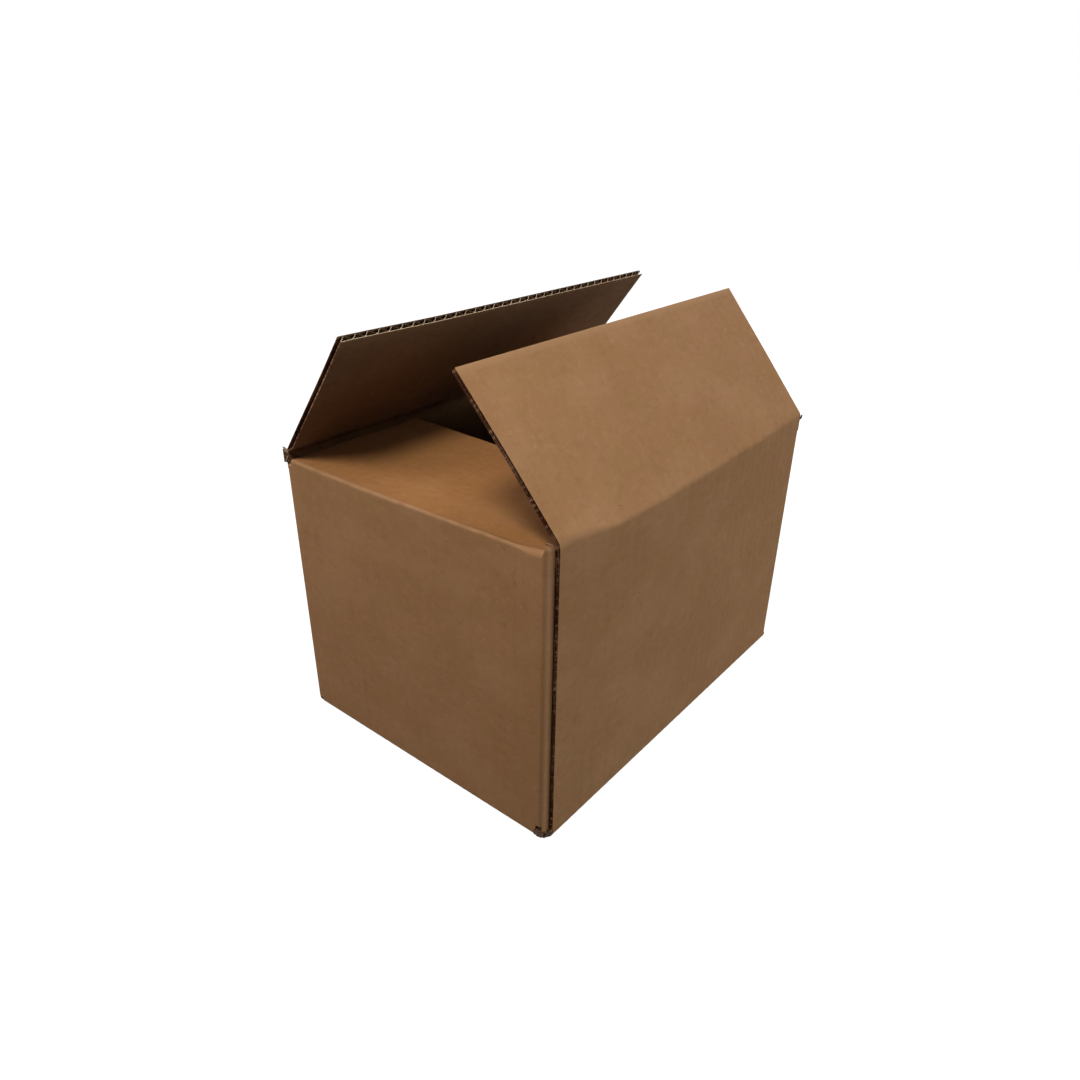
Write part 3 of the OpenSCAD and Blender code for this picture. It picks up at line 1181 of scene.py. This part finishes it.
# %% [markdown]
# ## Bottom
#
# The bottom is shut: the short flaps are folded in first and lie inside, the long flaps are
# folded over them and meet in the middle. Below, only the long ones and their seam show. A plain
# floor would hide in the photo just as well, but then the lower folds would have no round edge
# to catch the light, and the open cuts at the corners would be missing.

# %% Long bottom flaps
bottom = new_piece()
BOTTOM_SEAM = 0.2 * MM
BOTTOM_R = 1.2 * MM
BOTTOM_TURN = QUARTER * BOTTOM_R


def low_fold(s, reach, under):
    """Inward offset, height and turn of a bottom flap's outer face; s falls from the wall."""
    run = under + BOTTOM_R - s
    angle = np.clip(run / BOTTOM_R, 0, QUARTER)
    flat = np.maximum(run - BOTTOM_TURN, 0)
    inward = BOTTOM_R * (1 - np.cos(angle)) + flat
    height = under + BOTTOM_R * (1 - np.sin(angle)) + np.maximum(-run, 0)
    return np.minimum(inward, reach), height, angle


def low_thickness(u, s):
    """The board is pressed at the lower folds."""
    return BOARD_T * (0.97 - 0.45 * hump(s, 0, 3.5 * MM))


def bottom_place(side):
    def place(u, s, w):
        x = x_of(side, u)
        tucked = 2 * MM * eased(-s, 8 * MM, 40 * MM)
        x = np.maximum(x, tucked + 1.4 * MM - HALF_L) if side > 0 else x
        inward, z, angle = low_fold(s, HALF_W - BOTTOM_SEAM / 2, 0.03 * MM)
        return np.stack([x, side * (HALF_W - inward - w * np.cos(angle)), z + w * np.sin(angle)], -1)

    return place


# The places on the blank where the long bottom flaps end, and where the fold's close rows start
BOTTOM_END = 2 * BOTTOM_R - BOTTOM_TURN - HALF_W + BOTTOM_SEAM / 2
FOLD_START = -8 * MM
fold_rows = np.linspace(FOLD_START, Z_LOW, 12)
bottom_rows = np.concatenate([np.linspace(BOTTOM_END, FOLD_START, 8), fold_rows[1:]])
for flap, (first, last) in FLAP_SPAN.items():
    add_board(
        bottom,
        bottom_place(SIDE[flap]),
        columns(first, last, 6),
        bottom_rows,
        low_thickness,
        None,
        (True, True, True, False),
    )

# %% [markdown]
# At the foot of the glued corner the end wall's liner is torn off, and the crushed flutes of its
# heel bulge out under it. Beside it the end of the front bottom fold is fanned out a little past
# the raw edge. Both are small sheets of their own, so that the tears have real depth.

# %% The heel of the glued corner
HEEL_START = left_end - 4.5 * MM
HEEL_LOW, HEEL_HEIGHT = 0.5 * MM, 4.1 * MM
HEEL_BULGE = 0.5 * MM


def heel_place(u, s, w):
    """The crushed, rounded heel of the corner; s runs from 0 near the ground to 1."""
    x, y, nx, ny = way(u)
    flutes = 0.14 * MM * np.sin(2 * math.pi * (u - left_end) / (2.4 * MM))
    bulge = HEEL_BULGE * eased(u, HEEL_START, left_end - 1.0 * MM) * (1 - eased(s, 0.2, 0.9))
    rounded = 0.9 * MM * (1 - np.sqrt(1 - (1 - np.clip(3 * s, 0, 1)) ** 2))
    inward = rounded + 0.1 * MM - bulge + flutes + w
    return np.stack([x - nx * inward, y - ny * inward, HEEL_LOW + HEEL_HEIGHT * s], -1)


heel_columns = np.linspace(HEEL_START, tab_start + 3 * MM, 33)
# The heel's face gets the shaded cut paper: painted shade.
add_sheet(
    bottom,
    heel_place,
    heel_columns,
    np.linspace(0, 1, 14),
    depth(0.0),
    depth(0.5 * MM),
    (SHADED, SHADED_TORN),
    end_cut=SHADED,
)
# A sheet behind the heel, so that no light falls through; its dark torn paper is painted shade in the hole
# over the heel
add_sheet(
    bottom,
    wall_place,
    heel_columns,
    np.linspace(2 * MM, 10 * MM, 5),
    depth(1.6 * MM),
    depth(2.0 * MM),
    (SHADED_TORN, INNER),
)


# %% The end of the front bottom fold
def foot_place(u, s, w):
    """The crushed end of the front bottom fold, fanned out a little past the cut edge."""
    shifted = u + 1.0 * MM * hump(s, 3 * MM, 1.4 * MM)
    x, y, z = np.moveaxis(bottom_place(-1)(shifted, s, w), -1, 0)
    fan = eased(-u, 0, 5 * MM) * (0.5 + 0.3 * ripple(u, s, 2.2 * MM, 81))
    rounded = eased(-u, 0.5 * MM, 6 * MM)
    return np.stack([x, y - 0.5 * MM * fan + 1.3 * MM * rounded, z + 1.5 * MM * rounded], -1)


# The end of the fold gets the shaded cut paper as its liner: painted shade.
add_board(
    bottom,
    foot_place,
    np.linspace(-5.8 * MM, 0, 13),
    np.linspace(-6 * MM, 3.0 * MM, 18),
    low_thickness,
    liner=SHADED,
)


# %% Short bottom flaps, inside
def low_place(side):
    def place(u, s, w):
        y = y_of(side, u)
        under = FLOOR_LIFT + (BOARD_T + 0.1 * MM - FLOOR_LIFT) * eased(-s, 0.5 * MM, 7 * MM)
        inward, z, angle = low_fold(s, FLAP_D, FLOOR_LIFT)
        z = z + under - FLOOR_LIFT
        return np.stack([side * (HALF_L - inward - w * np.cos(angle)), y, z + w * np.sin(angle)], -1)

    return place


low_rows = np.concatenate([np.linspace(-FLAP_D + 2 * MM, FOLD_START, 7), fold_rows[1:]])
for side, (first, last) in SHORT_SPAN.items():
    add_board(
        bottom,
        low_place(side),
        columns(first, last, 6),
        low_rows,
        low_thickness,
        None,
        (True, True, True, False),
    )

# %% Hand the carton's pieces to its body
CARTON_PIECES = (
    (walls, "walls"),
    (short_flaps, "short_top_flaps"),
    (posts, "corner_posts"),
    (bottom, "bottom_flaps"),
)
for piece, name in CARTON_PIECES:
    made = finish_piece(piece, name, PAPERS)
    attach(made, "carton")
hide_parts("carton")

# %% [markdown]
# ## Floor, light and camera
#
# The photo's ground is pure white, but a floor that really shone white would light the carton
# from below. So the floor and the world are white only to the camera and in reflections, and for
# all other light the floor is a dark grey and the world nearly black. Six round lamps do the
# rest: a small one high on the left draws the shadow of the front flap, two light the left end,
# two the front wall, and a warm one at the right shines in between the long flaps.


# %% White to the camera only
def white_for_camera(tree):
    """1 where the camera looks, straight or in a reflection, and 0 for all other light."""
    path = node(tree, "ShaderNodeLightPath")
    seen = math_node(tree, "MAXIMUM", path.outputs["Is Camera Ray"], path.outputs["Is Glossy Ray"])
    return math_node(tree, "MAXIMUM", seen, path.outputs["Is Transmission Ray"])


# %% Floor
FLOOR_REACH = 12.0
floor_mesh = bpy.data.meshes.new("floor")
signs = ((-1, -1), (1, -1), (1, 1), (-1, 1))
floor_corners = [(x * FLOOR_REACH, y * FLOOR_REACH, 0) for x, y in signs]
floor_mesh.from_pydata(floor_corners, [], [(0, 1, 2, 3)])
floor = bpy.data.objects.new("floor", floor_mesh)
bpy.context.scene.collection.objects.link(floor)
floor_finish = bpy.data.materials.new("pale_floor")
floor_finish.use_nodes = True
tree = floor_finish.node_tree
tree.nodes.clear()
seen = white_for_camera(tree)
grey = node(tree, "ShaderNodeBsdfDiffuse", {"Color": (0.10, 0.095, 0.09, 1)})
pale = node(tree, "ShaderNodeBsdfDiffuse", {"Color": (0.34, 0.34, 0.34, 1)})
spot = node(tree, "ShaderNodeNewGeometry").outputs["Position"]
away = node(tree, "ShaderNodeVectorMath", {0: spot}, operation="LENGTH").outputs["Value"]
brightness = band(tree, away, 0.35, 1.4, 0.93, 1.0)
glow = node(tree, "ShaderNodeEmission", {"Color": (1, 1, 1, 1), "Strength": brightness})
lit = node(tree, "ShaderNodeAddShader", {0: pale.outputs[0], 1: glow.outputs[0]})
mixed = node(tree, "ShaderNodeMixShader", {0: seen, 1: grey.outputs[0], 2: lit.outputs[0]})
out = node(tree, "ShaderNodeOutputMaterial")
tree.links.new(mixed.outputs[0], out.inputs[0])
floor_mesh.materials.append(floor_finish)

# %% World
world = bpy.data.worlds.new("studio")
bpy.context.scene.world = world
world.use_nodes = True
tree = world.node_tree
tree.nodes.clear()
seen = white_for_camera(tree)
strength = math_node(tree, "ADD", math_node(tree, "MULTIPLY", seen, 0.99), 0.01)
sky = node(tree, "ShaderNodeBackground", {"Color": (1, 1, 1, 1), "Strength": strength})
out = node(tree, "ShaderNodeOutputWorld")
tree.links.new(sky.outputs[0], out.inputs[0])


# %% Lamps
AIM = Vector((0, 0, 0.15))


def lamp(name, azimuth, elevation, distance, size, power, colour=(1, 1, 1)):
    """A round lamp aimed at the carton; azimuth 0 is in front of it, 90 to its right."""
    data = bpy.data.lights.new(name, "AREA")
    data.shape = "DISK"
    data.size = size
    data.energy = power
    data.color = colour
    made = bpy.data.objects.new(name, data)
    turn, rise = math.radians(azimuth), math.radians(elevation)
    away = Vector((math.sin(turn) * math.cos(rise), -math.cos(turn) * math.cos(rise), math.sin(rise)))
    made.location = AIM + distance * away
    made.rotation_euler = (-away).to_track_quat("-Z", "Y").to_euler()
    bpy.context.scene.collection.objects.link(made)
    print(name, power, "W at", distance, "m")


lamp("ceiling_lamp", -73, 58.5, 0.78, 0.20, 2.52, (1.0, 0.985, 0.95))
lamp("left_wall", -140, 24, 1.3, 0.5, 5.9, (1.0, 0.925, 0.87))
lamp("left_window", -72, 22, 1.3, 0.5, 1.1, (1.0, 0.96, 0.90))
lamp("front_wall", 5, 4, 1.3, 0.3, 2.6)
lamp("front_window", 32, 12, 1.8, 0.8, 7.6, (0.91, 0.98, 1.01))
lamp("right_wall", 90, 30, 1.3, 0.5, 6.8, (1.0, 0.88, 0.72))

# %% Camera
# The photo's size, and its focal length and the middle of its lens, all in pixels
PHOTO_PX = 1080
FOCAL_PX, MIDDLE_X, MIDDLE_Y = 846.5, 571.46, 556.74
CAMERA_PLACE = (-0.40273, -0.3103, 0.36882)
CAMERA_TURN = (61.313, -1.776, -52.292)
camera_data = bpy.data.cameras.new("camera")
camera_data.sensor_width = 36
camera_data.lens = FOCAL_PX / PHOTO_PX * 36
camera_data.shift_x = (PHOTO_PX / 2 - MIDDLE_X) / PHOTO_PX
camera_data.shift_y = (MIDDLE_Y - PHOTO_PX / 2) / PHOTO_PX
camera = bpy.data.objects.new("camera", camera_data)
camera.location = CAMERA_PLACE
camera.rotation_euler = [math.radians(angle) for angle in CAMERA_TURN]
bpy.context.scene.collection.objects.link(camera)
bpy.context.scene.camera = camera
bpy.context.scene.view_settings.view_transform = "Standard"
print("camera with a lens of", round(camera_data.lens, 2), "mm")
